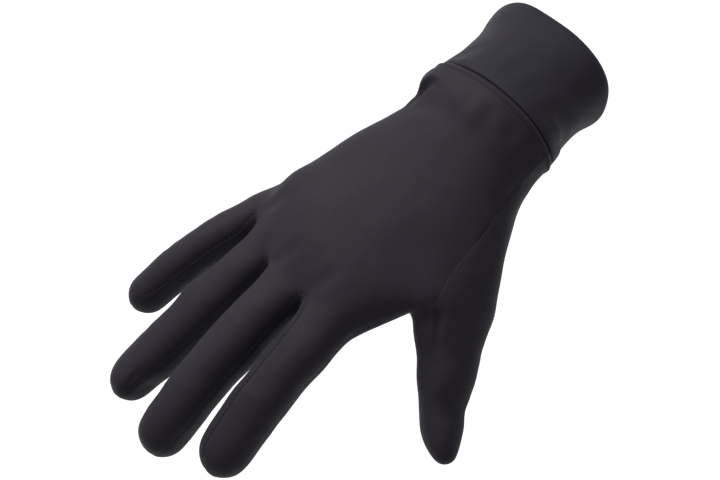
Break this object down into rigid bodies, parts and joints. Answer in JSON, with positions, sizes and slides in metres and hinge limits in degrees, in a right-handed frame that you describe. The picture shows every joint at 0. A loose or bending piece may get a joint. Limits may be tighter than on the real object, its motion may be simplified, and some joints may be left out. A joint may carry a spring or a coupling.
{
  "type": "running glove",
  "caption": "Thin stretch-knit running glove for a right hand, filled out as worn, with side strips between the fingers, a set-in thumb and a folded cuff.",
  "frame": {"origin": "middle of the cuff's opening", "axes": "+Y from the wrist to the fingertips along the middle of the hand, +Z out of the back of the hand, thumb on the -X side"},
  "size_m": [0.1524, 0.231, 0.0671],
  "materials": {
    "body_knit": "smooth stretch knit, soft sheen",
    "cuff_knit": "smooth stretch knit folded double, soft sheen"
  },
  "bodies": {
    "root": {"back_panel": "body_knit", "palm_panel": "body_knit", "thumb_panel": "body_knit", "fourchette_ring_little": "body_knit", "fourchette_middle_ring": "body_knit", "fourchette_index_middle": "body_knit", "cuff": "cuff_knit"}
  },
  "joints": []
}
